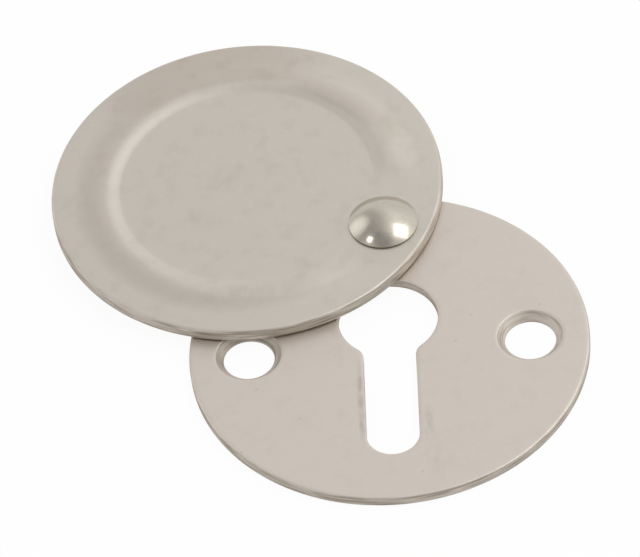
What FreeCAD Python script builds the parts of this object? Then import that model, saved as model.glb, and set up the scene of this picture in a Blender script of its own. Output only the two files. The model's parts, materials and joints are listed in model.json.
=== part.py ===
import FreeCAD, Part
import math
import os
from FreeCAD import Vector

# Keyhole escutcheon with a swinging cover. Lengths are in mm, angles in degrees.
# The plate's centre is the origin and its back face lies in z = 0, against the door.
# +Z points out of the door and +Y up the plate, from the key slot to the pivot.

# Both discs are blanked at one diameter, so that the closed cover hides the plate.
DISC_DIA = 32.0

# Plate.
PLATE_THICKNESS = 0.8
PLATE_EDGE_ROUND = 0.2

# Keyhole for a lever lock's key: a round head for the stem and a slot below it for the bit.
# The slot's foot is set in from the plate's edge.
KEY_HEAD_DIA = 8.0
KEY_HEAD_HEIGHT = 2.9
KEY_SLOT_WIDTH = 4.2
KEY_FOOT_INSET = 4.6
KEY_NECK_ROUND = 1.2
KEY_EDGE_ROUND = 0.1

# Two wood screws beside the keyhole. Each sink leaves a land of metal to the plate's edge.
SCREW_HOLE_DIA = 4.1
SCREW_SINK_DIA = 5.3
SCREW_EDGE_LAND = 2.1
SINK_ANGLE = 90.0

# Pivot rivet, set in from the discs' edges. The cover's hole has a running clearance on its shank.
PIVOT_INSET = 3.8
SHANK_DIA = 3.0
RUNNING_CLEARANCE = 0.05
RIVET_HEAD_DIA = 5.6
RIVET_LAND_HEIGHT = 0.12
RIVET_DOME_HEIGHT = 1.0
RIVET_TAIL_DIA = 4.0

# Cover, pressed from sheet. It floats between the plate and the rivet's head.
# Its ring is set in from its edge: the foot of the rise, the crest, and the skirt where the fall ends.
COVER_THICKNESS = 1.0
COVER_EDGE_ROUND = 0.25
COVER_BACK_ROUND = 0.1
COVER_LIFT = 0.1
HEAD_LIFT = 0.05
RING_FOOT_INSET = 5.7
RING_CREST_INSET = 4.05
RING_SKIRT_INSET = 1.7
RING_HEIGHT = 0.24
SKIRT_HEIGHT = 0.03
SEAT_FLAT_DIA = 8.0
SEAT_RISE_WIDTH = 4.6
SWING_ANGLE = 115.5

# Sizes that follow from the ones above.
DISC_R = DISC_DIA / 2
KEY_SLOT_REACH = DISC_R - KEY_FOOT_INSET
SCREW_OFFSET = DISC_R - SCREW_EDGE_LAND - SCREW_SINK_DIA / 2
PIVOT_HEIGHT = DISC_R - PIVOT_INSET
RING_FOOT_R = DISC_R - RING_FOOT_INSET
COVER_BACK_Z = PLATE_THICKNESS + COVER_LIFT
COVER_FRONT_Z = COVER_BACK_Z + COVER_THICKNESS
HEAD_Z = COVER_FRONT_Z + HEAD_LIFT
FULL_TURN = 360.0
SAME_PLACE = 1e-4


def axis_line():
    """The line that round sub-parts are turned about, along +Z through the origin."""
    return Vector(0, 0, 0), Vector(0, 0, 1)


def turned(points):
    """A solid of revolution about Z from (radius, height) corners."""
    corners = [Vector(r, 0, z) for r, z in points]
    face = Part.Face(Part.makePolygon(corners + corners[:1]))
    return face.revolve(*axis_line(), FULL_TURN)


def turned_edges(edges):
    """A solid of revolution about Z from a closed row of edges in the XZ plane."""
    face = Part.Face(Part.Wire(Part.sortEdges(edges)[0]))
    return face.revolve(*axis_line(), FULL_TURN)


def line(start, end):
    """A straight edge between two (radius, height) points of the XZ plane."""
    return Part.makeLine(Vector(start[0], 0, start[1]), Vector(end[0], 0, end[1]))


def moved(shape, x, y, z=0.0):
    """A copy of the shape, shifted."""
    copy = shape.copy()
    copy.translate(Vector(x, y, z))
    return copy


def sink_depth(mouth_dia, hole_dia):
    """How deep a conical sink goes from its mouth down to the hole."""
    return (mouth_dia - hole_dia) / 2 / math.tan(math.radians(SINK_ANGLE / 2))


def circle_edge_at(shape, radius, z):
    """The shape's circular edges of one radius at one height."""
    return [
        e
        for e in shape.Edges
        if isinstance(e.Curve, Part.Circle)
        and abs(e.Curve.Radius - radius) < SAME_PLACE
        and abs(e.Curve.Center.z - z) < SAME_PLACE
    ]


def rounded_disc(thickness, front_round):
    """A blanked disc, its front rim rolled over by the die."""
    disc = Part.makeCylinder(DISC_R, thickness)
    return disc.makeFillet(front_round, circle_edge_at(disc, DISC_R, thickness))


# Back plate

def keyhole_outline():
    """The keyhole's edge: head arc, two neck arcs tangent to it and to the slot, slot and round foot."""
    head_r = KEY_HEAD_DIA / 2
    half = KEY_SLOT_WIDTH / 2
    # A neck arc's centre lies its own radius outside both the slot's side and the head's circle.
    neck_x = half + KEY_NECK_ROUND
    neck_y = KEY_HEAD_HEIGHT - math.sqrt((head_r + KEY_NECK_ROUND) ** 2 - neck_x**2)
    share = head_r / (head_r + KEY_NECK_ROUND)
    touch = Vector(neck_x * share, KEY_HEAD_HEIGHT + (neck_y - KEY_HEAD_HEIGHT) * share, 0)
    neck_end = Vector(half, neck_y, 0)
    # The neck arc's middle is found from the bisector of its two ends, seen from its centre.
    centre = Vector(neck_x, neck_y, 0)
    middle = centre + ((touch - centre) + (neck_end - centre)).normalize() * KEY_NECK_ROUND
    foot_end = Vector(half, half - KEY_SLOT_REACH, 0)
    foot = Vector(0, -KEY_SLOT_REACH, 0)
    top = Vector(0, KEY_HEAD_HEIGHT + head_r, 0)

    def mirrored(point):
        return Vector(-point.x, point.y, point.z)

    edges = [
        Part.Arc(touch, top, mirrored(touch)).toShape(),
        Part.Arc(mirrored(touch), mirrored(middle), mirrored(neck_end)).toShape(),
        Part.makeLine(mirrored(neck_end), mirrored(foot_end)),
        Part.Arc(mirrored(foot_end), foot, foot_end).toShape(),
        Part.makeLine(foot_end, neck_end),
        Part.Arc(neck_end, middle, touch).toShape(),
    ]
    return Part.Wire(edges)


def keyhole_plug():
    """The metal that the keyhole punch takes out of the plate."""
    return Part.Face(keyhole_outline()).extrude(Vector(0, 0, PLATE_THICKNESS))


def keyhole_front_edges(plate):
    """The keyhole's edges on the plate's front face: the front edges that lie on its walls."""
    walls = keyhole_plug()
    front = []
    for edge in plate.Edges:
        level = abs(edge.BoundBox.ZMin - PLATE_THICKNESS) < SAME_PLACE
        middle = Part.Vertex(edge.valueAt((edge.FirstParameter + edge.LastParameter) / 2))
        if level and walls.distToShape(middle)[0] < SAME_PLACE:
            front.append(edge)
    return front


def sunk_hole(hole_dia, mouth_dia):
    """A screw hole's metal: straight at the back, a cone up to its mouth in the front face."""
    shoulder_z = PLATE_THICKNESS - sink_depth(mouth_dia, hole_dia)
    return turned(
        [
            (0, 0),
            (hole_dia / 2, 0),
            (hole_dia / 2, shoulder_z),
            (mouth_dia / 2, PLATE_THICKNESS),
            (0, PLATE_THICKNESS),
        ]
    )


def tail_and_shank(top_z):
    """The rivet below its head: a cone at the plate's back that narrows to the straight shank."""
    return turned(
        [
            (0, 0),
            (RIVET_TAIL_DIA / 2, 0),
            (SHANK_DIA / 2, sink_depth(RIVET_TAIL_DIA, SHANK_DIA)),
            (SHANK_DIA / 2, top_z),
            (0, top_z),
        ]
    )


def back_plate():
    plate = rounded_disc(PLATE_THICKNESS, PLATE_EDGE_ROUND).cut(keyhole_plug())
    plate = plate.makeFillet(KEY_EDGE_ROUND, keyhole_front_edges(plate))
    hole = sunk_hole(SCREW_HOLE_DIA, SCREW_SINK_DIA)
    for side in (-1, 1):
        plate = plate.cut(moved(hole, side * SCREW_OFFSET, 0))
    return plate.cut(moved(tail_and_shank(PLATE_THICKNESS), 0, PIVOT_HEIGHT))


# Swing cover, made about its own centre with its pivot straight above, then swung open

def ring_edge(base_z):
    """The ring's top line: a steep rise from a level foot to a level crest, then a gentle fall
    that runs out straight over the skirt to the cover's rounded edge."""
    foot = Vector(RING_FOOT_R, 0, base_z)
    crest = Vector(DISC_R - RING_CREST_INSET, 0, base_z + RING_HEIGHT)
    skirt = Vector(DISC_R - RING_SKIRT_INSET, 0, base_z + SKIRT_HEIGHT)
    rim = Vector(DISC_R - COVER_EDGE_ROUND, 0, base_z)
    level = Vector(1, 0, 0)
    rise, fall = Part.BSplineCurve(), Part.BSplineCurve()
    rise.interpolate(Points=[foot, crest], InitialTangent=level, FinalTangent=level)
    fall.interpolate(Points=[crest, skirt], InitialTangent=level, FinalTangent=rim - skirt)
    return [rise.toShape(), fall.toShape(), Part.makeLine(skirt, rim)]


def ring(base_z, depth):
    """The raised ring on a base height, with a root that goes some way below it."""
    inner, outer = RING_FOOT_R, DISC_R - COVER_EDGE_ROUND
    low = base_z - depth
    sides = [
        line((outer, base_z), (outer, low)),
        line((outer, low), (inner, low)),
        line((inner, low), (inner, base_z)),
    ]
    return turned_edges(ring_edge(base_z) + sides)


def seat_room(base_z):
    """What the press keeps clear round the rivet: flat near it, then rising in an arc."""
    flat_r = SEAT_FLAT_DIA / 2
    rise_r = (SEAT_RISE_WIDTH**2 + RING_HEIGHT**2) / (2 * RING_HEIGHT)
    rim = (flat_r + SEAT_RISE_WIDTH, base_z + RING_HEIGHT)
    half_angle = math.asin(SEAT_RISE_WIDTH / rise_r) / 2
    middle = Vector(
        flat_r + rise_r * math.sin(half_angle), 0, base_z + rise_r * (1 - math.cos(half_angle))
    )
    arc = Part.Arc(Vector(flat_r, 0, base_z), middle, Vector(rim[0], 0, rim[1])).toShape()
    ceiling = rim[1] + RING_HEIGHT
    return turned_edges(
        [
            line((0, base_z), (flat_r, base_z)),
            arc,
            line(rim, (rim[0], ceiling)),
            line((rim[0], ceiling), (0, ceiling)),
            line((0, ceiling), (0, base_z)),
        ]
    )


def faded_ring(base_z, depth):
    """The ring with the rivet's seat pressed out of it, at the top of the cover."""
    return ring(base_z, depth).cut(moved(seat_room(base_z), 0, PIVOT_HEIGHT))


def cover_blank():
    """The cover's flat blank, rounded at the front and only eased at the back."""
    disc = rounded_disc(COVER_THICKNESS, COVER_EDGE_ROUND)
    disc = disc.makeFillet(COVER_BACK_ROUND, circle_edge_at(disc, DISC_R, 0))
    return moved(disc, 0, 0, COVER_BACK_Z)


def cover_hole():
    """The running hole for the rivet's shank."""
    hole = Part.makeCylinder(SHANK_DIA / 2 + RUNNING_CLEARANCE, COVER_THICKNESS)
    return moved(hole, 0, PIVOT_HEIGHT, COVER_BACK_Z)


def closed_cover():
    """The cover as it hangs shut. The ring stands on its front and leaves its hollow at the back."""
    root = COVER_THICKNESS / 2
    cover = cover_blank().fuse(faded_ring(COVER_FRONT_Z, root))
    cover = cover.cut(faded_ring(COVER_BACK_Z, root))
    return cover.cut(cover_hole()).removeSplitter()


def swing_cover():
    """The cover swung open clockwise round the rivet, from hanging shut."""
    cover = closed_cover()
    cover.rotate(Vector(0, PIVOT_HEIGHT, 0), Vector(0, 0, 1), -SWING_ANGLE)
    return cover


# Pivot rivet

def rivet_head():
    """A round head: a spherical dome on a short upright land."""
    head_r = RIVET_HEAD_DIA / 2
    foot_z = HEAD_Z + RIVET_LAND_HEIGHT
    top_z = foot_z + RIVET_DOME_HEIGHT
    dome_r = (head_r**2 + RIVET_DOME_HEIGHT**2) / (2 * RIVET_DOME_HEIGHT)
    half_angle = math.asin(head_r / dome_r) / 2
    middle = Vector(
        dome_r * math.sin(half_angle), 0, top_z - dome_r * (1 - math.cos(half_angle))
    )
    arc = Part.Arc(Vector(head_r, 0, foot_z), middle, Vector(0, 0, top_z)).toShape()
    return turned_edges(
        [
            line((0, HEAD_Z), (head_r, HEAD_Z)),
            line((head_r, HEAD_Z), (head_r, foot_z)),
            arc,
            line((0, top_z), (0, HEAD_Z)),
        ]
    )


def pivot_rivet():
    """Head, shank and the tail that is spread into the plate's back."""
    rivet = rivet_head().fuse(tail_and_shank(HEAD_Z)).removeSplitter()
    return moved(rivet, 0, PIVOT_HEIGHT)


def one_solid(name, shape):
    """The shape as a single checked solid."""
    if len(shape.Solids) != 1 or not shape.isValid():
        raise ValueError(f"{name} is not one valid solid")
    return shape.Solids[0]


def main():
    os.makedirs("parts", exist_ok=True)
    pieces = {
        "back_plate": back_plate(),
        "swing_cover": swing_cover(),
        "pivot_rivet": pivot_rivet(),
    }
    for name, shape in pieces.items():
        solid = one_solid(name, shape)
        solid.exportStep(f"parts/{name}.step")
        print(f"{name}: volume {solid.Volume:.2f} mm3, height {solid.BoundBox.ZLength:.2f} mm")


main()
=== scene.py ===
# %% [markdown]
# # A keyhole escutcheon with a swinging cover
#
# The real thing is three pieces of nickel-plated brass: a thin plate that is screwed to a door, a
# round cover that hides its keyhole, and the polished rivet that the cover turns on. The CAD model has
# the same three pieces as plain solids. This file makes a finer mesh for each, gives it its finish, and
# puts all three into a studio. Each cell does one step and prints what it made.

# %% Load the frame
import json
import math

import bpy
import numpy as np
from mathutils import Matrix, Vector
from mathutils.geometry import tessellate_polygon


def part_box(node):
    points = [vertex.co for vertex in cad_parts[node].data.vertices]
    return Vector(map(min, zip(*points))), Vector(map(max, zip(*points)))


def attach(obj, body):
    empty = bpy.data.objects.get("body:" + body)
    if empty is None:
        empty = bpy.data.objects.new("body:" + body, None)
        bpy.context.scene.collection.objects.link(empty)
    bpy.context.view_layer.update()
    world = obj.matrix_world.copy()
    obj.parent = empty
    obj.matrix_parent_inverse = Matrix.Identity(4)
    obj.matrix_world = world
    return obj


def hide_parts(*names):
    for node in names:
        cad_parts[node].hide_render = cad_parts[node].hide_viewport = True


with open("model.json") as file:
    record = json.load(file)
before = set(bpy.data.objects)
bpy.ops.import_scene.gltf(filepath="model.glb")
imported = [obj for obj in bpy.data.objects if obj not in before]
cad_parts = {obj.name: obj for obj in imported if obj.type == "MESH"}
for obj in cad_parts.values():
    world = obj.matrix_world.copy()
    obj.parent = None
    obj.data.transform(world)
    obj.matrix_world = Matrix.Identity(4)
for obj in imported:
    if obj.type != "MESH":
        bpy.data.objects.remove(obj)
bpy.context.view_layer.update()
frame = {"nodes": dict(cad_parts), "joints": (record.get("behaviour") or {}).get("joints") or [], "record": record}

for node in sorted(frame["nodes"]):
    low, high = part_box(node)
    print(node, "is", [round(1000 * side, 2) for side in high - low], "mm")

# %% [markdown]
# ## Sizes
#
# The meshes stand for the solids of the CAD model, so they have to be exactly as large. What the frame
# knows is read from it: the boxes of the nodes, the place of the hinge, and the screw holes. Boxes are
# rounded, because a solid's facets lie a little inside its round edges. The other sizes are repeated,
# each in the cell of the piece that has it. All are in millimetres. Blender works in metres, and only
# the helpers that put something into the scene do that sum.

# %% Sizes that the frame knows
MM = 0.001


def box_mm(node):
    """A node's lowest and highest corners in millimetres."""
    return [np.array(corner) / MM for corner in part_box(node)]


DISC_R = round(box_mm("back_plate")[1][0], 1)
PLATE_T = round(box_mm("back_plate")[1][2], 2)
COVER_BACK_Z = round(box_mm("swing_cover")[0][2], 2)
HEAD_R = round(box_mm("pivot_rivet")[1][0], 1)
HEAD_TOP_Z = round(box_mm("pivot_rivet")[1][2], 2)
PIVOT = [round(side / MM, 2) for side in frame["joints"][0]["pos_m"][:2]]

SCREW_DIMS = frame["record"]["mounts"][0]["dims"]
SCREW_X = SCREW_DIMS["spacing_x_mm"] / 2
SCREW_HOLE_R = SCREW_DIMS["hole_r_mm"]
print("discs of radius", DISC_R, "with the pivot at", PIVOT, "and screws at x", SCREW_X)

# %% [markdown]
# ## Loops and bands
#
# Sheet-metal pieces are easy to describe as closed loops of points that move over the surface: out
# across the front, down the edge, back in underneath. Joining each loop to the next with four-sided
# faces gives a band. Walked in that order, with the points of every loop going anticlockwise, all the
# faces point outwards, so nothing has to be turned round later.


# %% Loops of points
def lift(xy, z):
    """Points of the plane, given a height: x, y and z side by side."""
    heights = np.broadcast_to(z, xy.shape[:-1])
    return np.concatenate([xy, heights[..., None]], axis=-1)


def full_turn(steps, start=0.0):
    """Evenly spaced angles all the way round, in radians, the last one short of the first."""
    return start + np.linspace(0, 2 * math.pi, steps, endpoint=False)


def circles(centre, radii, angles):
    """Circles about one centre: centre + radius (cos angle, sin angle), a row for each radius."""
    rays = np.stack([np.cos(angles), np.sin(angles)], axis=-1)
    return np.array(centre) + np.asarray(radii)[..., None, None] * rays


def turned(centre, profile, angles):
    """A profile of radii and heights carried round an upright axis: a loop for each of its points."""
    return lift(circles(centre, profile[:, 0], angles), profile[:, 1, None])


def quarter(radius, start, end, steps):
    """A corner's round: points of an arc about (0, 0), from one angle to another in degrees."""
    turn = np.linspace(math.radians(start), math.radians(end), steps)
    return radius * np.stack([np.cos(turn), np.sin(turn)], axis=-1)


print("an edge's round of 1 mm in 3 steps:", quarter(1.0, 90, 0, steps=3).round(2).tolist())


# %% Faces between the loops
def numbered(loops, first):
    """The numbers of a block's points in the list of all points, a row for each loop."""
    return first + np.arange(loops.shape[0] * loops.shape[1]).reshape(loops.shape[:2])


def band(rows):
    """Four-sided faces between each closed loop of point numbers and the next, as one array."""
    this, after = rows[:-1], rows[1:]
    quads = [this, after, np.roll(after, -1, axis=1), np.roll(this, -1, axis=1)]
    return np.stack(quads, axis=-1).reshape(-1, 4)


def fan(pole, row):
    """Triangles from a pole to a loop round it: a face for each point and its neighbour."""
    return np.stack([np.full_like(row, pole), row, np.roll(row, -1)], axis=-1)


print("two loops of 3 points give the faces", band(np.arange(6).reshape(2, 3)).tolist())

# %% [markdown]
# A mesh whose faces all point outwards encloses a positive volume, so the helper that makes a piece
# prints it. It should be that of the CAD solid. Smooth shading hides the facets, and edges sharper than
# the crease angle are kept crisp.


# %% From points and faces to a piece
def enclosed_mm3(points, faces):
    """The volume inside: a sixth of the sum of each triangle's scalar triple product."""
    corners = np.concatenate([f[:, [0, k, k + 1]] for f in faces for k in range(1, f.shape[1] - 1)])
    a, b, c = (points[corners[:, k]] for k in range(3))
    return float(np.einsum("ij,ij->i", a, np.cross(b, c)).sum() / 6)


def make_piece(name, mesh_parts, crease):
    """Puts points in mm and their faces into the scene, in metres, as one smooth mesh."""
    points, faces = mesh_parts
    mesh = bpy.data.meshes.new(name)
    rows = [face for block in faces for face in block.tolist()]
    mesh.from_pydata((points * MM).tolist(), [], rows)
    mesh.shade_smooth()
    mesh.set_sharp_from_angle(angle=math.radians(crease))
    piece = bpy.data.objects.new(name, mesh)
    bpy.context.scene.collection.objects.link(piece)
    print(name, "has", len(rows), "faces and", round(enclosed_mm3(points, faces), 1), "mm3")
    return piece


# %% [markdown]
# ## The pressed cover
#
# The real cover is a round blank of sheet, pressed between two dies. They leave a flat middle, a
# steep step up to a low ring, and a skirt that falls gently to the edge. Round the rivet the ring dies
# away into a flat seat. A lathe shape can't do that, because the seat sits to one side, so the height
# is a function of two things: how far a point is from the cover's centre, and how far from the rivet.

# %% Sizes of the cover
COVER_T = 1.0
COVER_FRONT_Z = COVER_BACK_Z + COVER_T
COVER_EDGE_ROUND = 0.25
COVER_BACK_ROUND = 0.1
COVER_HOLE_R = 1.55
RIM_R = DISC_R - COVER_EDGE_ROUND

RING_FOOT_R = 10.3
RING_CREST_R = 11.95
RING_SKIRT_R = 14.3
RING_HEIGHT = 0.24
SKIRT_HEIGHT = 0.03
SEAT_FLAT_R = 4.0
SEAT_RISE = 4.6

# The closed cover lies over the plate. Swinging it clockwise carries its centre round the pivot.
SWING = math.radians(115.5)
COVER_CENTRE = (-PIVOT[1] * math.sin(SWING), PIVOT[1] - PIVOT[1] * math.cos(SWING))
PIVOT_BEARING = math.atan2(PIVOT[1] - COVER_CENTRE[1], PIVOT[0] - COVER_CENTRE[0])
print("cover centre", [round(side, 3) for side in COVER_CENTRE], "mm")


# %% Height of the pressed relief
def smooth_step(t):
    """3t squared minus 2t cubed, held at 0 before the start and at 1 after the end."""
    t = np.clip(t, 0.0, 1.0)
    return t * t * (3.0 - 2.0 * t)


def early_step(t):
    """1 minus (1 - t) cubed times (1 + 3t): a step from 0 to 1 that is steepest at a third."""
    t = np.clip(t, 0.0, 1.0)
    return 1.0 - (1.0 - t) ** 3 * (1.0 + 3.0 * t)


def ring_height(r):
    """The ring across its width: an early step up from foot to crest, a smooth fall that meets the
    skirt at the skirt's own slope, then the skirt's straight line down to the edge's round."""
    rise = RING_HEIGHT * early_step((r - RING_FOOT_R) / (RING_CREST_R - RING_FOOT_R))
    skirt_slope = -SKIRT_HEIGHT / (RIM_R - RING_SKIRT_R)
    width = RING_SKIRT_R - RING_CREST_R
    t = np.clip((r - RING_CREST_R) / width, 0.0, 1.0)
    drop = (RING_HEIGHT - SKIRT_HEIGHT) * smooth_step(t)
    fall = RING_HEIGHT - drop + skirt_slope * width * (t**3 - t**2)
    skirt = SKIRT_HEIGHT + skirt_slope * np.clip(r - RING_SKIRT_R, 0.0, RIM_R - RING_SKIRT_R)
    return np.where(r < RING_CREST_R, rise, np.where(r < RING_SKIRT_R, fall, skirt))


def relief(xy):
    """The ring's height times a smooth step that is 0 on the rivet's seat and 1 away from it."""
    from_centre = np.linalg.norm(xy - np.array(COVER_CENTRE), axis=-1)
    from_rivet = np.linalg.norm(xy - np.array(PIVOT), axis=-1)
    return ring_height(from_centre) * smooth_step((from_rivet - SEAT_FLAT_R) / SEAT_RISE)


sample = np.array([RING_FOOT_R, RING_CREST_R, RING_SKIRT_R, RIM_R])
print("ring heights at foot, crest, skirt and rim:", ring_height(sample).round(3))

# %% [markdown]
# The cover's grid is polar: rows are circles about its centre and columns are rays. Circles lie wide
# apart on the flat middle and close together on the relief. The back is the same surface, one sheet's
# thickness lower, because a pressed sheet is as thick everywhere, and the edge is a profile turned
# about the cover's centre.

# %% Grid of the cover
COLUMNS = 360
FLAT_ROWS = 11
FLAT_SPACING = 0.9
RELIEF_ROWS = 70

flat_radii = np.linspace(FLAT_SPACING, FLAT_ROWS * FLAT_SPACING, FLAT_ROWS)
RADII = np.concatenate([flat_radii, np.linspace(RING_FOOT_R, RIM_R, RELIEF_ROWS)])
BEARINGS = full_turn(COLUMNS, start=PIVOT_BEARING)


def cover_side(level):
    """The front or the back: a point for each circle and ray, at its level plus the relief."""
    xy = circles(COVER_CENTRE, RADII, BEARINGS)
    return lift(xy, level + relief(xy))


def cover_edge():
    """The edge: a quarter round from the front, a straight wall, a small round at the back."""
    top = quarter(COVER_EDGE_ROUND, 90, 0, steps=9)[1:] + [RIM_R, COVER_FRONT_Z - COVER_EDGE_ROUND]
    inset = DISC_R - COVER_BACK_ROUND, COVER_BACK_Z + COVER_BACK_ROUND
    low = quarter(COVER_BACK_ROUND, 0, -90, steps=5) + inset
    return turned(COVER_CENTRE, np.concatenate([top, low]), BEARINGS)


print("each side of the cover has", len(RADII), "circles of", COLUMNS, "points")

# %% [markdown]
# The rivet's hole doesn't fit a polar grid. So a square patch of faces round it is left out, and the gap
# is filled with loops that shrink from the patch's outline to the round hole. They cross the back, and
# then come out again over the front, so the hole's wall is simply the step between the two.

# %% Hole for the rivet
PATCH_HALF = 2.3
HOLE_LOOPS = 8
CROWDING = 0.7


def patch_outline(rows):
    """The patch's outline, anticlockwise round the rivet, and a mask of the faces inside it."""
    crossed = np.flatnonzero(abs(RADII - PIVOT[1]) < PATCH_HALF)
    reach = int(PATCH_HALF / (PIVOT[1] * 2 * math.pi / COLUMNS))
    inner, outer = crossed[0], crossed[-1]
    columns = np.arange(-reach, reach + 1)
    sides = [
        rows[outer, columns[:-1]],
        rows[inner + 1 : outer + 1, columns[-1]][::-1],
        rows[inner, columns[:0:-1]],
        rows[inner:outer, columns[0]],
    ]
    inside = np.zeros((len(RADII) - 1, COLUMNS), bool)
    inside[inner:outer, columns[:-1]] = True
    return np.concatenate(sides), inside


def hole_loops(outline):
    """Loops at outline + (hole - outline) times a share that grows from 0 to 1, faster at first."""
    rays = outline - np.array(PIVOT)
    rays /= np.linalg.norm(rays, axis=1)[:, None]
    hole = np.array(PIVOT) + COVER_HOLE_R * rays
    share = (np.linspace(0, 1, HOLE_LOOPS + 1)[1:] ** CROWDING)[:, None, None]
    shrinking = outline + (hole - outline) * share
    return np.concatenate([lift(shrinking, COVER_BACK_Z), lift(shrinking[::-1], COVER_FRONT_Z)])


print("the hole's wall is", round(COVER_FRONT_Z - COVER_BACK_Z, 2), "mm high")


# %% Cover mesh
def cover_mesh():
    """The points of the front, back, edge, poles and hole in one list, and the faces between them."""
    front, back, edge = cover_side(COVER_FRONT_Z), cover_side(COVER_BACK_Z), cover_edge()
    front_rows = numbered(front, 0)
    back_rows = numbered(back, front_rows.size)
    edge_rows = numbered(edge, 2 * front_rows.size)
    front_pole = edge_rows[-1, -1] + 1
    back_pole = front_pole + 1

    front_outline, inside = patch_outline(front_rows)
    back_outline, _ = patch_outline(back_rows)
    hole = hole_loops(front.reshape(-1, 3)[front_outline, :2])
    hole_rows = numbered(hole, back_pole + 1)

    poles = [[[*COVER_CENTRE, COVER_FRONT_Z], [*COVER_CENTRE, COVER_BACK_Z]]]
    blocks = [front, back, edge, np.array(poles), hole]
    points = np.concatenate([block.reshape(-1, 3) for block in blocks])
    quads = [
        band(front_rows)[~inside.ravel()],
        band(np.concatenate([front_rows[-1:], edge_rows, back_rows[-1:]])),
        band(back_rows[::-1])[~inside[::-1].ravel()],
        band(np.concatenate([back_outline[None], hole_rows, front_outline[None]])),
    ]
    triangles = [fan(front_pole, front_rows[0]), fan(back_pole, back_rows[0])[:, ::-1]]
    return points, quads + triangles


cover = make_piece("swing_cover_pressed", cover_mesh(), crease=40)
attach(cover, "cover")
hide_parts("swing_cover")

# %% [markdown]
# ## The turned rivet
#
# A round-head rivet is a shape of revolution, so its profile, from the top of the dome down and back in
# to the middle of its tail, is carried once round the pivot. The dome is a slice of a sphere. It ends
# in a short upright land, which shows in the photograph as a thin dark line at its foot. The hammered
# tail is dished by a hair.

# %% Rivet mesh
SHANK_R = 1.5
TAIL_R = 2.0
TAIL_CONE_Z = TAIL_R - SHANK_R
TAIL_DISH = 0.02
DISH_R = 1.4
POLE_R = 0.05
LAND_HEIGHT = 0.12
LAND_ROUND = 0.05
DOME_HEIGHT = 1.0
DOME_LOOPS = 40
HEAD_Z = round(HEAD_TOP_Z - LAND_HEIGHT - DOME_HEIGHT, 2)
RIVET_COLUMNS = 144


def rivet_profile():
    """Radius and height from just beside the dome's top to just beside the tail's middle. A dome's
    radius is (head radius squared + height squared) over twice the height."""
    dome_r = (HEAD_R**2 + DOME_HEIGHT**2) / (2 * DOME_HEIGHT)
    slope = np.linspace(0.02, 1.0, DOME_LOOPS) * math.asin(HEAD_R / dome_r)
    drop = dome_r * (1 - np.cos(slope))
    dome = np.stack([dome_r * np.sin(slope), HEAD_TOP_Z - drop], axis=-1)
    inset = HEAD_R - LAND_ROUND, HEAD_Z + LAND_ROUND
    under = quarter(LAND_ROUND, 0, -90, steps=4) + inset
    shank = [[SHANK_R, HEAD_Z], [SHANK_R, TAIL_CONE_Z], [TAIL_R, 0.0]]
    tail = [[DISH_R, TAIL_DISH * DISH_R / TAIL_R], [POLE_R, TAIL_DISH]]
    return np.concatenate([dome, under, shank, tail])


def rivet_mesh():
    """The profile turned about the pivot, closed by a fan of triangles at each pole."""
    loops = turned(PIVOT, rivet_profile(), full_turn(RIVET_COLUMNS))
    rows = numbered(loops, 0)
    poles = np.array([[*PIVOT, HEAD_TOP_Z], [*PIVOT, TAIL_DISH]])
    points = np.concatenate([loops.reshape(-1, 3), poles])
    triangles = [fan(rows.size, rows[0]), fan(rows.size + 1, rows[-1])[:, ::-1]]
    return points, [band(rows)] + triangles


rivet = make_piece("pivot_rivet_turned", rivet_mesh(), crease=35)
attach(rivet, "plate")
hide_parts("pivot_rivet")

# %% [markdown]
# ## The blanked plate
#
# A punch cuts the plate and its keyhole from strip. Punching drags the metal over a little at the front
# edge, and that small round is what catches the light. So each outline, the disc's and every hole's, is
# a closed curve that carries the profile of its own edge, and flat faces fill what is left between them.
#
# A lever-lock keyhole is a round head over a slot with a round foot. Small necks, which bend the other
# way, join the two, so the outline is four arcs, each tangent to the next.

# %% Outlines of the plate
KEY_HEAD = (0.0, 2.9)
KEY_HEAD_R = 4.0
KEY_SLOT_HALF = 2.1
KEY_FOOT_Y = -11.4
KEY_NECK_R = 1.2


def arc_xy(centre, radius, start, end, steps):
    """Points of an arc and the directions that leave its centre there, angles in degrees."""
    ray = quarter(1.0, start, end, steps)
    return np.array(centre) + radius * ray, ray


def keyhole_curve():
    """The keyhole anticlockwise from the slot's foot: foot, neck, head and neck. The necks' own
    directions into the metal point at their centres, so they are turned round."""
    neck_x = KEY_SLOT_HALF + KEY_NECK_R
    neck_y = KEY_HEAD[1] - math.sqrt((KEY_HEAD_R + KEY_NECK_R) ** 2 - neck_x**2)
    tilt = math.degrees(math.atan2(KEY_HEAD[1] - neck_y, neck_x))
    foot = arc_xy((0.0, KEY_FOOT_Y + KEY_SLOT_HALF), KEY_SLOT_HALF, 180, 360, steps=49)
    right_neck = arc_xy((neck_x, neck_y), KEY_NECK_R, 180, 180 - tilt, steps=15)
    head = arc_xy(KEY_HEAD, KEY_HEAD_R, -tilt, 180 + tilt, steps=121)
    left_neck = arc_xy((-neck_x, neck_y), KEY_NECK_R, tilt, 0, steps=15)
    # The head shares its first and last points with the necks, which keep them.
    points = np.concatenate([foot[0], right_neck[0], head[0][1:-1], left_neck[0]])
    normals = np.concatenate([foot[1], -right_neck[1], head[1][1:-1], -left_neck[1]])
    return points, normals


def circle_curve(centre, steps):
    """A circle of no radius yet: its centre, and the directions its profile's offsets go in."""
    return np.tile(np.array(centre), (steps, 1)), circles((0.0, 0.0), 1.0, full_turn(steps))


print("the keyhole's outline has", len(keyhole_curve()[0]), "points")

# %% [markdown]
# An edge's profile is a row of (offset, height) pairs. The offset goes from the curve into the metal
# for a hole, and it is simply the radius for a circle. Each profile starts and ends with a narrow strip
# of the flat face, so that the shading of the round edge doesn't leak across the wide flat. Walked from
# the first pair to the last, the faces of a profile point out of the metal.

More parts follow.
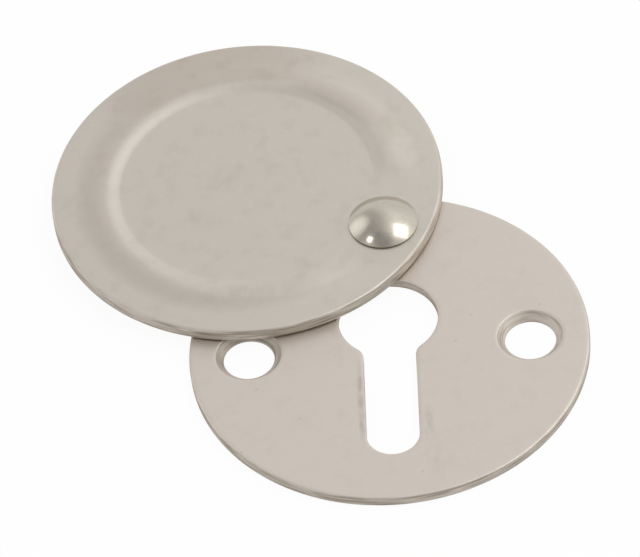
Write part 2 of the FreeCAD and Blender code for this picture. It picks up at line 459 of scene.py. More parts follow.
# %% Edge profiles of the plate
PLATE_EDGE_ROUND = 0.2
KEY_EDGE_ROUND = 0.1
BURR_BREAK = 0.05
SCREW_SINK_R = 2.65
SINK_LIP = 0.03
FLAT_STRIP = 0.25


def rim_profile():
    """The disc's edge, from the strip on the front over the round and down to the back."""
    rounded = DISC_R - PLATE_EDGE_ROUND, PLATE_T - PLATE_EDGE_ROUND
    front = quarter(PLATE_EDGE_ROUND, 90, 0, steps=8) + rounded
    back = quarter(BURR_BREAK, 0, -90, steps=3) + [DISC_R - BURR_BREAK, BURR_BREAK]
    start = [[DISC_R - PLATE_EDGE_ROUND - FLAT_STRIP, PLATE_T]]
    end = [[DISC_R - BURR_BREAK - FLAT_STRIP, 0.0]]
    return np.concatenate([start, front, back, end])


def keyhole_profile():
    """The keyhole's wall, from the back's strip up to the front's, with a small round at the front."""
    back = quarter(BURR_BREAK, 270, 180, steps=3) + [BURR_BREAK, BURR_BREAK]
    rounded = KEY_EDGE_ROUND, PLATE_T - KEY_EDGE_ROUND
    front = quarter(KEY_EDGE_ROUND, 180, 90, steps=5) + rounded
    start = [[BURR_BREAK + FLAT_STRIP, 0.0]]
    end = [[KEY_EDGE_ROUND + FLAT_STRIP, PLATE_T]]
    return np.concatenate([start, back, front, end])


def screw_profile():
    """A screw hole's wall: the back's strip, a short straight hole, the sink's cone and its lip."""
    start = [[SCREW_HOLE_R + BURR_BREAK + FLAT_STRIP, 0.0]]
    back = quarter(BURR_BREAK, 270, 180, steps=3) + [SCREW_HOLE_R + BURR_BREAK, BURR_BREAK]
    shoulder = [[SCREW_HOLE_R, PLATE_T - (SCREW_SINK_R - SCREW_HOLE_R)]]
    # The lip is broken in two facets, the outer one nearly level.
    facets = np.array([[-1.0, -1.0], [-1.0 / 4.0, -1.0 / 3.0], [1.0, 0.0]])
    lip = SINK_LIP * facets + [SCREW_SINK_R, PLATE_T]
    end = [[SCREW_SINK_R + SINK_LIP + FLAT_STRIP, PLATE_T]]
    return np.concatenate([start, back, shoulder, lip, end])


def rivet_room_profile():
    """The rivet's hole: the cone that its tail fills at the back, then the straight shank."""
    cone = [[TAIL_R + FLAT_STRIP, 0.0], [TAIL_R, 0.0]]
    shank = [[SHANK_R, TAIL_CONE_Z], [SHANK_R, PLATE_T]]
    return np.array(cone + shank + [[SHANK_R + FLAT_STRIP, PLATE_T]])


print("the rim's profile has", len(rim_profile()), "points, the keyhole's", len(keyhole_profile()))

# %% [markdown]
# What lies between the profiles is a disc with four holes. Blender's own tessellator fills such a shape
# with triangles when it gets the outlines. It may return a triangle either way round, so each one is
# compared with the side it should face.

# %% Plate mesh
RIM_POINTS = 360
HOLE_POINTS = 96


def carried(curve, profile):
    """A profile carried round a curve: each loop is the curve plus its directions times the offset."""
    points, normals = curve
    return lift(points + profile[:, 0, None, None] * normals, profile[:, 1, None])


def flat_faces(outlines, points, upwards):
    """Triangles between the outlines, all turned to face up or down."""
    loops = [lift(points[outline, :2], 0.0).tolist() for outline in outlines]
    triangles = np.concatenate(outlines)[np.array(tessellate_polygon(loops))]
    a, b, c = (points[triangles[:, k], :2] for k in range(3))
    faces_up = (b - a)[:, 0] * (c - a)[:, 1] - (b - a)[:, 1] * (c - a)[:, 0] > 0
    return np.where((faces_up == upwards)[:, None], triangles, triangles[:, ::-1])


def plate_mesh():
    """The edges of the disc and its four holes, and the flat front and back between them."""
    blocks = [
        carried(circle_curve((0.0, 0.0), RIM_POINTS), rim_profile()),
        carried(keyhole_curve(), keyhole_profile()),
        carried(circle_curve((-SCREW_X, 0.0), HOLE_POINTS), screw_profile()),
        carried(circle_curve((SCREW_X, 0.0), HOLE_POINTS), screw_profile()),
        carried(circle_curve(PIVOT, HOLE_POINTS), rivet_room_profile()),
    ]
    rows, first = [], 0
    for block in blocks:
        rows.append(numbered(block, first))
        first += rows[-1].size
    points = np.concatenate([block.reshape(-1, 3) for block in blocks])
    front = flat_faces([rows[0][0]] + [hole[-1] for hole in rows[1:]], points, True)
    back = flat_faces([rows[0][-1]] + [hole[0] for hole in rows[1:]], points, False)
    return points, [band(row) for row in rows] + [front, back]


plate = make_piece("back_plate_blanked", plate_mesh(), crease=35)
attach(plate, "plate")
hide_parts("back_plate")

# %% [markdown]
# ## Colours and nodes
#
# Colours are written as sRGB hex, as a picture editor shows them, and a shader wants them linear. One
# function does that. A second one adds a node, sets it up and links its inputs, so that a material reads
# as a list of what happens to the light. A Mix node has a set of sockets for each kind of value, all
# with the same names, so they are told apart by number.

# %% Helpers for materials
FACTOR = 0
NUMBER_A, NUMBER_B, MIXED_NUMBER = 2, 3, 0
COLOUR_A, COLOUR_B, MIXED_COLOUR = 6, 7, 2
PER_METRE = 1.0 / MM


def linear(hex_colour):
    """sRGB hex to linear red, green, blue and alpha, by the sRGB curve."""
    values = [int(hex_colour[k : k + 2], 16) / 255 for k in (1, 3, 5)]
    return [v / 12.92 if v <= 0.04045 else ((v + 0.055) / 1.055) ** 2.4 for v in values] + [1.0]


def add(tree, kind, inputs, **settings):
    """Adds a node, sets its properties, and gives each input a value or a link from a socket."""
    node = tree.nodes.new(kind)
    for key, value in settings.items():
        setattr(node, key, value)
    for key, value in inputs.items():
        if isinstance(value, bpy.types.NodeSocket):
            tree.links.new(value, node.inputs[key])
        else:
            node.inputs[key].default_value = value
    return node


def new_material(name):
    """An empty node material, and its tree."""
    material = bpy.data.materials.new(name)
    material.use_nodes = True
    material.node_tree.nodes.clear()
    return material, material.node_tree


def dress(piece, material):
    """Gives a piece one material."""
    piece.data.materials.clear()
    piece.data.materials.append(material)
    print(piece.name, "wears", material.name)


print("mid grey #808080 is", round(linear("#808080")[0], 3), "in linear light")

# %% [markdown]
# ## Satin nickel
#
# Nickel plate on brass that was tumbled and lightly brushed: a warm grey metal whose highlight is broad
# and soft. What keeps it from looking like grey paint is what its making and its use have left on it,
# and the next cells make one such trace each: clouds, pits, rubbed plating, the torn walls of punched
# edges, hair lines, and the turned rings of the sinks. Two of them also paint shade: crescents on the
# cover's ring, and darker tones on the walls and in the sinks.
#
# Where a trace lies is told by an oval: the surface point, moved and scaled so that the oval becomes a
# circle of radius 1, is inside it when its length is less than 1. One oval taken from another leaves a
# crescent.


# %% Masks from places on the metal
def oval(tree, point, centre, half, turn=0.0, fade=0.5, most=1.0):
    """A mask that is largest in the middle of an oval and 0 outside; centre and half sizes in mm. Its
    edge fades over a share of its radius."""
    local = add(
        tree,
        "ShaderNodeMapping",
        {
            "Vector": point,
            "Location": (centre[0] * MM, centre[1] * MM, 0.0),
            "Rotation": (0.0, 0.0, math.radians(turn)),
            "Scale": (half[0] * MM, half[1] * MM, 1.0),
        },
        vector_type="TEXTURE",
    )
    reach = add(tree, "ShaderNodeVectorMath", {0: local.outputs["Vector"]}, operation="LENGTH")
    mask = add(
        tree,
        "ShaderNodeMapRange",
        {
            "Value": reach.outputs["Value"],
            "From Min": 1.0,
            "From Max": 1.0 - fade,
            "To Max": most,
        },
        interpolation_type="SMOOTHSTEP",
    )
    return mask.outputs["Result"]


def crescent(tree, point, most, outer, inner):
    """What one oval leaves uncovered of another: a crescent, thickest where they are furthest apart."""
    masks = [oval(tree, point, most=most, **shape) for shape in (outer, inner)]
    left = add(
        tree,
        "ShaderNodeMath",
        {0: masks[0], 1: masks[1]},
        operation="SUBTRACT",
        use_clamp=True,
    )
    return left.outputs["Value"]


def any_of(tree, masks):
    """The largest of several masks at each point."""
    total = 0.0
    for mask in masks:
        largest = add(tree, "ShaderNodeMath", {0: total, 1: mask}, operation="MAXIMUM")
        total = largest.outputs["Value"]
    return total


# %% [markdown]
# ### Clouds and pits
#
# Handling leaves faint cloudy marks, one or two millimetres across, where the plate is a little duller.
# They come from noise that is cut off early, so that most of the face is clear. A few tiny pits come
# from a Voronoi texture: its cells are the places that could have one, and each cell's own random
# colour decides whether it has.

# %% Clouds and pits
CLOUD_WIDTH = 1.0 / 0.7
CLOUDED, CLEAR = 0.28, 0.54
PIT_SPACING = 1.0 / 0.3
PIT_R, PIT_CORE_R = 0.1833, 0.0667
UNPITTED, PITTED = 0.70, 0.80
PIT_WEAR = 0.28


def clearness(tree, point, seed):
    """A share that is 0 in the middle of a cloud and 1 on the clear plate."""
    noise = add(
        tree,
        "ShaderNodeTexNoise",
        {"Vector": point, "Scale": PER_METRE / CLOUD_WIDTH, "Detail": 4.0, "W": seed},
        noise_dimensions="4D",
    )
    share = add(
        tree,
        "ShaderNodeMapRange",
        {"Value": noise.outputs["Fac"], "From Min": CLOUDED, "From Max": CLEAR},
        interpolation_type="SMOOTHSTEP",
    )
    return share.outputs["Result"]


def pits(tree, point):
    """A mask of small dots, one at the point of each chosen cell."""
    cells = add(
        tree,
        "ShaderNodeTexVoronoi",
        {"Vector": point, "Scale": PER_METRE / PIT_SPACING},
        voronoi_dimensions="2D",
    )
    chosen = add(
        tree,
        "ShaderNodeMapRange",
        {
            "Value": cells.outputs["Color"],
            "From Min": UNPITTED,
            "From Max": PITTED,
            "To Max": PIT_WEAR,
        },
    )
    near = add(
        tree,
        "ShaderNodeMapRange",
        {
            "Value": cells.outputs["Distance"],
            "From Min": PIT_R / PIT_SPACING,
            "From Max": PIT_CORE_R / PIT_SPACING,
        },
    )
    both = {0: chosen.outputs["Result"], 1: near.outputs["Result"]}
    return add(tree, "ShaderNodeMath", both, operation="MULTIPLY").outputs["Value"]


print("a cloud is about", round(CLOUD_WIDTH, 2), "mm wide and a pit", round(2 * PIT_R, 2), "mm")

# %% [markdown]
# ### Rubbed plating, and painted shade on the ring
#
# Keys that miss the slot rub the plate darker beside it, and fingers rub the cover where they push it.
# Nobody rubs evenly, so blotches, drawn out along the slot, break up each oval. One long oval also
# darkens the bottom of the cover's ring. The ring's slopes that face away from the light get painted
# shade: smooth crescents of a darker, browner colour.

# %% Rubbed plating, and the places of all such marks
BLOTCH_WIDTH = 0.625
DRAWN_OUT = 0.4
BARE, COVERED = 0.25, 0.75

KEY_RUBS = [
    dict(centre=(-2.4, -6.0), half=(0.4, 5.4), turn=0.5, fade=0.8),
    dict(centre=(2.9, -8.8), half=(0.6, 2.8), turn=2.0, fade=0.9, most=0.7),
    dict(centre=(3.4, -11.8), half=(1.3, 3.0), turn=20.0, fade=1.0, most=0.3),
]
FINGER_RUBS = [
    dict(centre=(-12.6, 18.6), half=(2.4, 2.0), fade=1.0, most=0.4),
    dict(centre=(-15.0, 14.0), half=(3.2, 1.8), turn=-20.0, fade=1.0, most=0.3),
    # This long oval lies along the bottom of the cover's ring and makes it darker there.
    dict(centre=(-10.5, 5.4), half=(8.0, 1.7), fade=1.0, most=0.4),
]


def rubs(tree, point, seed, places):
    """A mask of ovals, broken up by blotches."""
    drawn_out = add(tree, "ShaderNodeMapping", {"Vector": point, "Scale": (1.0, DRAWN_OUT, 1.0)})
    blotches = add(
        tree,
        "ShaderNodeTexNoise",
        {
            "Vector": drawn_out.outputs["Vector"],
            "Scale": PER_METRE / BLOTCH_WIDTH,
            "Detail": 2.0,
            "W": seed,
        },
        noise_dimensions="4D",
    )
    broken = add(
        tree,
        "ShaderNodeMapRange",
        {"Value": blotches.outputs["Fac"], "From Min": BARE, "From Max": COVERED},
        interpolation_type="SMOOTHSTEP",
    )
    ovals = any_of(tree, [oval(tree, point, **place) for place in places])
    both = {0: ovals, 1: broken.outputs["Result"]}
    return add(tree, "ShaderNodeMath", both, operation="MULTIPLY").outputs["Value"]


def on_cover(right, up):
    """A place so far from the centre of the swung cover, in mm."""
    return COVER_CENTRE[0] + right, COVER_CENTRE[1] + up


# Painted shade: crescents of a darker, browner colour on the ring's slopes where they face away from the light.
RING_SHADE_CRESCENTS = [
    dict(
        most=0.12,
        outer=dict(centre=COVER_CENTRE, half=(14.2, 14.2), fade=0.1),
        inner=dict(centre=on_cover(1.2, 0.0), half=(13.0, 13.0), fade=0.06),
    ),
    dict(
        most=0.22,
        outer=dict(centre=on_cover(-3.0, 12.0), half=(11.0, 6.0), turn=15.0, fade=0.5),
        inner=dict(centre=COVER_CENTRE, half=(12.0, 12.0), fade=0.06),
    ),
    dict(
        most=0.18,
        outer=dict(centre=on_cover(7.5, 9.0), half=(9.0, 1.8), turn=-40.0, fade=0.8),
        inner=dict(centre=COVER_CENTRE, half=(11.2, 11.2), fade=0.04),
    ),
]
print(len(KEY_RUBS) + len(FINGER_RUBS), "rubbed places and", len(RING_SHADE_CRESCENTS), "thin ones")

# %% [markdown]
# ### Punched walls, with painted shade
#
# Only the front was brushed: just below its level the metal is as the punch left it, smooth at the top
# and torn below. The tearing follows the sheet, so its light and dark streaks are noise that is far
# longer along the sheet than across it. Both tones are darker than the front's, which paints shade onto
# the walls and into the sinks' cones.

# %% Punched walls
BRUSH_REACH = 0.08
STREAK_HEIGHT = 1.0 / 6.0
STREAK_STRETCH = 0.06
# The darker tone is partly painted shade on the walls and in the sinks.
TORN_AND_SHADED_TONES = ("#B8AEA1", "#DCD4CA")


def front_share(tree, point, face_z):
    """A share that is 1 on the brushed front and 0 from a brush's reach below it."""
    height = add(tree, "ShaderNodeSeparateXYZ", {"Vector": point})
    share = add(
        tree,
        "ShaderNodeMapRange",
        {
            "Value": height.outputs["Z"],
            "From Min": (face_z - BRUSH_REACH) * MM,
            "From Max": face_z * MM,
        },
    )
    return share.outputs["Result"]


def torn_and_shaded_colour(tree, point):
    """The colour of the punched walls and the sinks' cones: streaks between two tones, both darker than the front,
    as painted shade.
    """
    along = (STREAK_STRETCH, STREAK_STRETCH, 1.0)
    layered = add(tree, "ShaderNodeMapping", {"Vector": point, "Scale": along})
    streaks = add(
        tree,
        "ShaderNodeTexNoise",
        {
            "Vector": layered.outputs["Vector"],
            "Scale": PER_METRE / STREAK_HEIGHT,
            "Detail": 1.0,
        },
    )
    share = add(
        tree,
        "ShaderNodeMapRange",
        {"Value": streaks.outputs["Fac"], "From Min": 0.35, "From Max": 0.6},
    )
    tones = {COLOUR_A: linear(TORN_AND_SHADED_TONES[0]), COLOUR_B: linear(TORN_AND_SHADED_TONES[1])}
    mixed = add(
        tree, "ShaderNodeMix", {FACTOR: share.outputs["Result"], **tones}, data_type="RGBA"
    )
    return mixed.outputs[MIXED_COLOUR]


print("streaks are", round(STREAK_HEIGHT, 2), "mm high and", round(1 / STREAK_STRETCH), "times as long")

# %% [markdown]
# ### Hair lines and turned rings
#
# Brushing leaves hair lines. Real ones are about 0.02 mm apart, finer than a pixel here, so they are
# drawn about four times as coarse. They run straight across a piece, so on the cover they are turned by
# its swing. The drill that cut the sinks left fine rings in their cones. None of these is deep enough to
# model, so they only bend the surface's normal, as bump.

# %% Tool marks
HAIR_PITCH = 1.0 / 12.0
HAIR_STRETCH = 0.06
TORN_GRAIN = 1.0 / 3.5
MARK_DEPTH = 0.01
TORN_STRENGTH, HAIR_STRENGTH = 0.45, 0.08
RING_PITCH = 0.2
RING_DEPTH = 0.02
RING_STRENGTH = 0.3
# A wave texture repeats 20 / (2 pi) times in each unit of its own scaled space.
WAVES_PER_UNIT = 20.0 / (2.0 * math.pi)


def hair_or_torn(tree, point, front, grain_turn):
    """A normal bent by hair lines on the front, and by torn metal on the punched walls."""
    along = add(tree, "ShaderNodeMapping", {"Vector": point, "Rotation": (0.0, 0.0, grain_turn)})
    stretched = add(
        tree,
        "ShaderNodeMapping",
        {"Vector": along.outputs["Vector"], "Scale": (HAIR_STRETCH, 1.0, 1.0)},
    )
    hair = {"Vector": stretched.outputs["Vector"], "Scale": PER_METRE / HAIR_PITCH}
    torn = {"Vector": point, "Scale": PER_METRE / TORN_GRAIN}
    heights = [
        add(tree, "ShaderNodeTexNoise", {**pattern, "Detail": 2.0}).outputs["Fac"]
        for pattern in (torn, hair)
    ]
    height = add(
        tree,
        "ShaderNodeMix",
        {FACTOR: front, NUMBER_A: heights[0], NUMBER_B: heights[1]},
        data_type="FLOAT",
    )
    strength = add(
        tree,
        "ShaderNodeMapRange",
        {"Value": front, "To Min": TORN_STRENGTH, "To Max": HAIR_STRENGTH},
    )
    bump = add(
        tree,
        "ShaderNodeBump",
        {
            "Height": height.outputs[MIXED_NUMBER],
            "Strength": strength.outputs["Result"],
            "Distance": MARK_DEPTH * MM,
        },
    )
    return bump.outputs["Normal"]


def drilled(tree, point, sink, normal):
    """A normal bent by rings about one sink's axis, inside the sink alone."""
    axis = (sink[0] * MM, sink[1] * MM, 0.0)
    local = add(tree, "ShaderNodeVectorMath", {0: point, 1: axis}, operation="SUBTRACT")
    rings = add(
        tree,
        "ShaderNodeTexWave",
        {
            "Vector": local.outputs["Vector"],
            "Scale": PER_METRE / RING_PITCH / WAVES_PER_UNIT,
            "Distortion": 0.6,
        },
        wave_type="RINGS",
        rings_direction="Z",
    )
    cone = oval(
        tree, point, sink, (SCREW_SINK_R, SCREW_SINK_R), fade=0.01, most=RING_STRENGTH
    )
    bump = add(
        tree,
        "ShaderNodeBump",
        {
            "Height": rings.outputs["Fac"],
            "Strength": cone,
            "Distance": RING_DEPTH * MM,
            "Normal": normal,
        },
    )
    return bump.outputs["Normal"]


print("hair lines are", round(HAIR_PITCH, 3), "mm apart, rings", RING_PITCH, "mm")

# %% [markdown]
# ### The whole finish
#
# The plate and the cover had the same finish but not the same wear, so one function makes both. Colours
# are laid over each other in this order: bright and clouded nickel, worn places, painted shade on the
# ring's slopes, and, wherever the front was never brushed, the torn metal's streaks in tones darkened as
# painted shade. The metal keeps Blender's default index of refraction, and the roughness is that of a
# satin finish, about a half.

# %% Satin nickel material
WORN = "#85796A"
RING_SHADE_TONE = "#A88E82"
CLOUD_ROUGHNESS, CLEAR_ROUGHNESS = 0.49, 0.44
TORN_ROUGHNESS = 0.64


def satin_colour(tree, point, clear, front, seed, wear, finish):
    """Clouded and clear nickel, worn by a share of the rubs and pits, with painted shade on the ring's
    slopes, and off the front the torn metal's streaks in tones darkened as painted shade. The finish
    names the two tones, the rubbed places and the crescents of painted shade."""
    marks = any_of(tree, [rubs(tree, point, seed, finish["rubs"]), pits(tree, point)])
    worn = add(tree, "ShaderNodeMath", {0: marks, 1: wear}, operation="MULTIPLY").outputs["Value"]
    thin = any_of(tree, [crescent(tree, point, **place) for place in finish["thin"]])
    colour = linear(finish["tones"][0])
    # The third layer is painted shade on the ring's slopes.
    layers = [(clear, finish["tones"][1]), (worn, WORN), (thin, RING_SHADE_TONE)]
    for share, tone in layers:
        layer = {FACTOR: share, COLOUR_A: colour, COLOUR_B: linear(tone)}
        colour = add(tree, "ShaderNodeMix", layer, data_type="RGBA").outputs[MIXED_COLOUR]
    # Below the front: the torn metal's streaks, in tones darkened as painted shade.
    on_front = {FACTOR: front, COLOUR_A: torn_and_shaded_colour(tree, point), COLOUR_B: colour}
    return add(tree, "ShaderNodeMix", on_front, data_type="RGBA").outputs[MIXED_COLOUR]


def satin_nickel(name, face_z, grain_turn, seed, wear, finish, sinks):
    """A satin nickel for a piece whose front is at one height and was brushed in one direction."""
    material, tree = new_material(name)
    point = add(tree, "ShaderNodeTexCoord", {}).outputs["Object"]
    clear = clearness(tree, point, seed)
    front = front_share(tree, point, face_z)
    brushed = add(
        tree,
        "ShaderNodeMapRange",
        {"Value": clear, "To Min": CLOUD_ROUGHNESS, "To Max": CLEAR_ROUGHNESS},
    )
    roughness = add(
        tree,
        "ShaderNodeMix",
        {FACTOR: front, NUMBER_A: TORN_ROUGHNESS, NUMBER_B: brushed.outputs["Result"]},
        data_type="FLOAT",
    )
    normal = hair_or_torn(tree, point, front, grain_turn)
    for sink in sinks:
        normal = drilled(tree, point, sink, normal)
    shader = add(
        tree,
        "ShaderNodeBsdfPrincipled",
        {
            "Base Color": satin_colour(tree, point, clear, front, seed, wear, finish),
            "Metallic": 1.0,
            "Roughness": roughness.outputs[MIXED_NUMBER],
            "Normal": normal,
        },
    )
    add(tree, "ShaderNodeOutputMaterial", {"Surface": shader.outputs["BSDF"]})
    return material


# %% Satin nickel on the plate and the cover
plate_finish = dict(tones=("#DAD1C8", "#DDD4CB"), rubs=KEY_RUBS, thin=[])
# The cover's crescents are painted shade on its ring.
cover_finish = dict(tones=("#D1CABF", "#D6CFC5"), rubs=FINGER_RUBS, thin=RING_SHADE_CRESCENTS)
plate_nickel = satin_nickel(
    "satin_nickel_blanked",
    face_z=PLATE_T,
    grain_turn=0.0,
    seed=3.0,
    wear=0.5,
    finish=plate_finish,
    sinks=[(-SCREW_X, 0.0), (SCREW_X, 0.0)],
)
cover_nickel = satin_nickel(
    "satin_nickel_pressed",
    face_z=COVER_FRONT_Z,
    grain_turn=SWING,
    seed=8.0,
    wear=0.3,
    finish=cover_finish,
    sinks=[],
)
dress(plate, plate_nickel)
dress(cover, cover_nickel)

# %% [markdown]
# ## Polished nickel
#
# The rivet's head was buffed, so it mirrors the studio. A perfect mirror would look drawn, and a buffed
# head isn't perfect: its surface waves very slightly, and fine wipe marks spread the lamps' reflections.

# %% Polished nickel material
WAVE_WIDTH = 1.0 / 0.9
WAVE_DEPTH = 0.05
WIPE_WIDTH = 0.2
BUFFED_ROUGHNESS, WIPED_ROUGHNESS = 0.12, 0.26
BUFFED_TONES = ("#C0B9AD", "#CFC8BB")


def polished_nickel():
    """Polished nickel: a low roughness that wipe marks raise a little, and a slow wave in the surface."""
    material, tree = new_material("polished_nickel_buffed")
    point = add(tree, "ShaderNodeTexCoord", {}).outputs["Object"]
    slow = {"Vector": point, "Scale": PER_METRE / WAVE_WIDTH, "Detail": 2.0}
    fine = {"Vector": point, "Scale": PER_METRE / WIPE_WIDTH, "Detail": 5.0}
    wave, wipes = (
        add(tree, "ShaderNodeTexNoise", pattern).outputs["Fac"] for pattern in (slow, fine)
    )
    roughness = add(
        tree,
        "ShaderNodeMapRange",
        {"Value": wipes, "To Min": BUFFED_ROUGHNESS, "To Max": WIPED_ROUGHNESS},
    )
    bump = add(
        tree,
        "ShaderNodeBump",
        {"Height": wave, "Strength": 0.25, "Distance": WAVE_DEPTH * MM},
    )
    tones = {COLOUR_A: linear(BUFFED_TONES[0]), COLOUR_B: linear(BUFFED_TONES[1])}
    colour = add(tree, "ShaderNodeMix", {FACTOR: wipes, **tones}, data_type="RGBA")
    shader = add(
        tree,
        "ShaderNodeBsdfPrincipled",
        {
            "Base Color": colour.outputs[MIXED_COLOUR],
            "Metallic": 1.0,
            "Roughness": roughness.outputs["Result"],
            "Normal": bump.outputs["Normal"],
        },
    )
    add(tree, "ShaderNodeOutputMaterial", {"Surface": shader.outputs["BSDF"]})
    return material


dress(rivet, polished_nickel())

# %% [markdown]
# ## Floor
#
# The part lies on white paper, which has to look white to the camera. More lamp light would do that, but
# it would burn the metal out. So a ray from the camera meets a paper that is nearly all its own light, at
# a strength of 1, and the small share of plain paper keeps the shadow. A ray that the metal mirrors meets
# only some of that light: the walls of the keyhole and the edges show the paper, but stay dark.

# %% White paper floor
SHINE_SEEN = 0.94
SHINE_MIRRORED = 0.3
FLOOR_HALF = 1500.0
FLOOR_Z = -0.02


def white_paper():
    """White paper: mostly its own light for camera rays, partly for mirror rays, plain otherwise."""
    material, tree = new_material("white_paper_floor")
    path = add(tree, "ShaderNodeLightPath", {})
    seen, mirrored = (
        add(tree, "ShaderNodeMath", {0: path.outputs[ray], 1: shine}, operation="MULTIPLY")
        for ray, shine in (("Is Camera Ray", SHINE_SEEN), ("Is Glossy Ray", SHINE_MIRRORED))
    )
    share = add(
        tree,
        "ShaderNodeMath",
        {0: seen.outputs["Value"], 1: mirrored.outputs["Value"]},
        operation="MAXIMUM",
    )
    tones = {COLOUR_A: linear("#E6E6E6"), COLOUR_B: linear("#FFFFFF")}
    tone = add(
        tree, "ShaderNodeMix", {FACTOR: path.outputs["Is Camera Ray"], **tones}, data_type="RGBA"
    )
    paper = add(tree, "ShaderNodeBsdfDiffuse", {"Color": tone.outputs[MIXED_COLOUR]})
    glow = add(tree, "ShaderNodeEmission", {"Color": linear("#FFFFFF"), "Strength": 1.0})
    mixed = add(
        tree,
        "ShaderNodeMixShader",
        {0: share.outputs["Value"], 1: paper.outputs["BSDF"], 2: glow.outputs["Emission"]},
    )
    add(tree, "ShaderNodeOutputMaterial", {"Surface": mixed.outputs["Shader"]})
    return material


corners = np.array([[-1, -1], [1, -1], [1, 1], [-1, 1]]) * FLOOR_HALF
floor_mesh = bpy.data.meshes.new("paper_floor")
floor_mesh.from_pydata((lift(corners, FLOOR_Z) * MM).tolist(), [], [(0, 1, 2, 3)])
floor = bpy.data.objects.new("paper_floor", floor_mesh)
bpy.context.scene.collection.objects.link(floor)
dress(floor, white_paper())

# %% [markdown]
# ## Studio
#
# Polished and satin metal look like what they mirror, so the studio was read from the photograph. The
# rivet's dome is a map of it: a large soft lamp at the right, a small one at the left, and a pale patch
# of wall beyond that. The broad lights and darks of the satin cover tell the rest: brighter walls at the
# right, a dimmer patch above the pale one, and a dark room behind the camera.
#
# Everything but the two lamps is the world. Its grey goes slowly from walls to ceiling, and each patch
# is a glow that fades with the angle from its middle. A dimmer patch is a glow with a negative gain. The
# camera itself sees a plain white world.

# %% World
GREY_OF_WALLS, GREY_OF_CEILING = 0.865, 0.945
WALLS_END, CEILING_STARTS = 0.3, 0.95
GLOWS = [
    dict(bearing=-58.0, height=33.0, reach=26.0, gain=0.85),
    dict(bearing=64.0, height=35.0, reach=46.0, gain=0.12),
    dict(bearing=82.0, height=54.0, reach=30.0, gain=0.18),
    dict(bearing=-58.0, height=52.0, reach=50.0, gain=-0.5),
    dict(bearing=0.0, height=55.0, reach=34.0, gain=0.1),
    dict(bearing=180.0, height=20.0, reach=80.0, gain=-0.34),
    dict(bearing=190.0, height=68.0, reach=28.0, gain=-0.3),
]


def towards(bearing, height):
    """The unit vector of a bearing from +Y towards +X and a height above the floor, in degrees."""
    b, h = math.radians(bearing), math.radians(height)
    return np.array([math.sin(b) * math.cos(h), math.cos(b) * math.cos(h), math.sin(h)])


def glow_from(tree, direction, bearing, height, reach, gain):
    """Light that is strongest in one direction and gone at its reach from there, in degrees."""
    middle = towards(bearing, height)
    facing = add(tree, "ShaderNodeVectorMath", {0: direction, 1: middle}, operation="DOT_PRODUCT")
    glow = add(
        tree,
        "ShaderNodeMapRange",
        {
            "Value": facing.outputs["Value"],
            "From Min": math.cos(math.radians(reach)),
            "From Max": 1.0,
            "To Max": gain,
        },
        interpolation_type="SMOOTHSTEP",
    )
    return glow.outputs["Result"]


def studio_grey(tree):
    """The grey of the studio: from walls to ceiling by height, plus every glow."""
    direction = add(tree, "ShaderNodeTexCoord", {}).outputs["Generated"]
    split = add(tree, "ShaderNodeSeparateXYZ", {"Vector": direction})
    room = add(
        tree,
        "ShaderNodeMapRange",
        {
            "Value": split.outputs["Z"],
            "From Min": WALLS_END,
            "From Max": CEILING_STARTS,
            "To Min": GREY_OF_WALLS,
            "To Max": GREY_OF_CEILING,
        },
        interpolation_type="SMOOTHSTEP",
    )
    grey = room.outputs["Result"]
    for glow in GLOWS:
        terms = {0: grey, 1: glow_from(tree, direction, **glow)}
        grey = add(tree, "ShaderNodeMath", terms, operation="ADD").outputs["Value"]
    return grey


def studio_world():
    """A world that is plain white to the camera and the grey studio to all other rays."""
    world = bpy.data.worlds.new("studio_world")
    world.use_nodes = True
    tree = world.node_tree
    tree.nodes.clear()
    path = add(tree, "ShaderNodeLightPath", {})
    level = add(
        tree,
        "ShaderNodeMix",
        {FACTOR: path.outputs["Is Camera Ray"], NUMBER_A: studio_grey(tree), NUMBER_B: 1.0},
        data_type="FLOAT",
    )
    sky = {"Color": linear("#FFFFFF"), "Strength": level.outputs[MIXED_NUMBER]}
    shine = add(tree, "ShaderNodeBackground", sky)
    add(tree, "ShaderNodeOutputWorld", {"Surface": shine.outputs["Background"]})
    return world


bpy.context.scene.world = studio_world()
print("the world is a grey room with", len(GLOWS), "patches of light and dark")

# %% [markdown]
# The lamps are area lamps, one square as a softbox is, one round. They face the part from a sphere about
# it. What counts for the metal is how bright a lamp's face is: the watts over its area and over pi, and
# that is printed, next to a white wall's 1.

# %% Lamps
SUBJECT = np.array([-5.0, 8.0, 1.0])
LAMP_DISTANCE = 450.0


def stand(name, data, axes, place):
    """An object for a lamp or the camera, with its own x, y and z along three directions."""
    pose = np.eye(4)
    pose[:3, :3] = np.stack(axes, axis=-1)
    pose[:3, 3] = place * MM
    holder = bpy.data.objects.new(name, data)
    holder.matrix_world = Matrix(pose.tolist())
    bpy.context.scene.collection.objects.link(holder)
    return holder


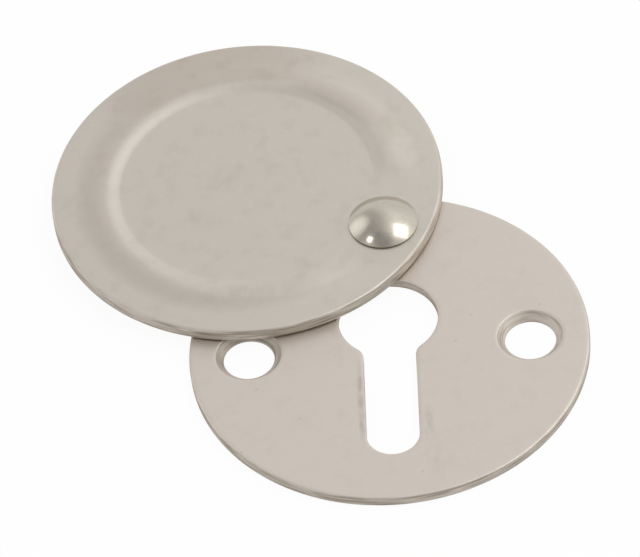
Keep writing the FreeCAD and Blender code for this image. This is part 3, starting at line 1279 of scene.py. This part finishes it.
def lamp(name, shape, bearing, height, width, watts):
    """A square or round area lamp on a sphere about the subject, facing it; its width in mm."""
    away = towards(bearing, height)
    side = towards(bearing + 90.0, 0.0)
    light = bpy.data.lights.new(name, "AREA")
    light.shape = shape
    light.size = width * MM
    light.energy = watts
    stand(name, light, [side, np.cross(away, side), away], SUBJECT + away * LAMP_DISTANCE)
    area = light.size**2 * (math.pi / 4 if shape == "DISK" else 1.0)
    print(name, "has a face", round(watts / (math.pi * area), 2), "times as bright as a white wall")


lamp("softbox_right", "SQUARE", bearing=85.0, height=56.0, width=225.0, watts=0.24)
lamp("spot_left", "DISK", bearing=-113.0, height=57.0, width=72.0, watts=0.07)

# %% [markdown]
# ## Camera
#
# The camera's place was worked out from the outlines in the photograph: the plate and the cover are the
# same circle in reality, and their ellipses fix the tilt, the turn and the distance. It stands below
# the plate's foot and looks up along it, rolled by a few degrees. The focal length is kept in pixels of
# the photograph, as it was found, and becomes a lens in millimetres here.

# %% Camera
IMAGE_WIDTH = 640
FOCAL_PIXELS = 5969.05
SENSOR = 36.0
ELEVATION, AZIMUTH, ROLL = (math.radians(a) for a in (47.708, 3.450, -6.603))
DISTANCE = 476.03
AIM = (-4.865, 6.411)
NEAREST = 10.0


def camera_axes():
    """Right, up and backward directions: turned by azimuth and elevation, then rolled."""
    back = towards(180.0 - math.degrees(AZIMUTH), math.degrees(ELEVATION))
    right = np.array([math.cos(AZIMUTH), math.sin(AZIMUTH), 0.0])
    up = np.cross(back, right)
    place = right * AIM[0] + up * AIM[1] + back * DISTANCE
    rolled_right = right * math.cos(ROLL) + up * math.sin(ROLL)
    rolled_up = -right * math.sin(ROLL) + up * math.cos(ROLL)
    return [rolled_right, rolled_up, back], place


axes, place = camera_axes()
camera_data = bpy.data.cameras.new("camera")
camera_data.sensor_width = SENSOR
camera_data.lens = FOCAL_PIXELS / IMAGE_WIDTH * SENSOR
camera_data.clip_start = NEAREST * MM
bpy.context.scene.camera = stand("camera", camera_data, axes, place)
bpy.context.scene.view_settings.view_transform = "Standard"
print("camera at", place.round(1), "mm with a", round(camera_data.lens, 1), "mm lens")
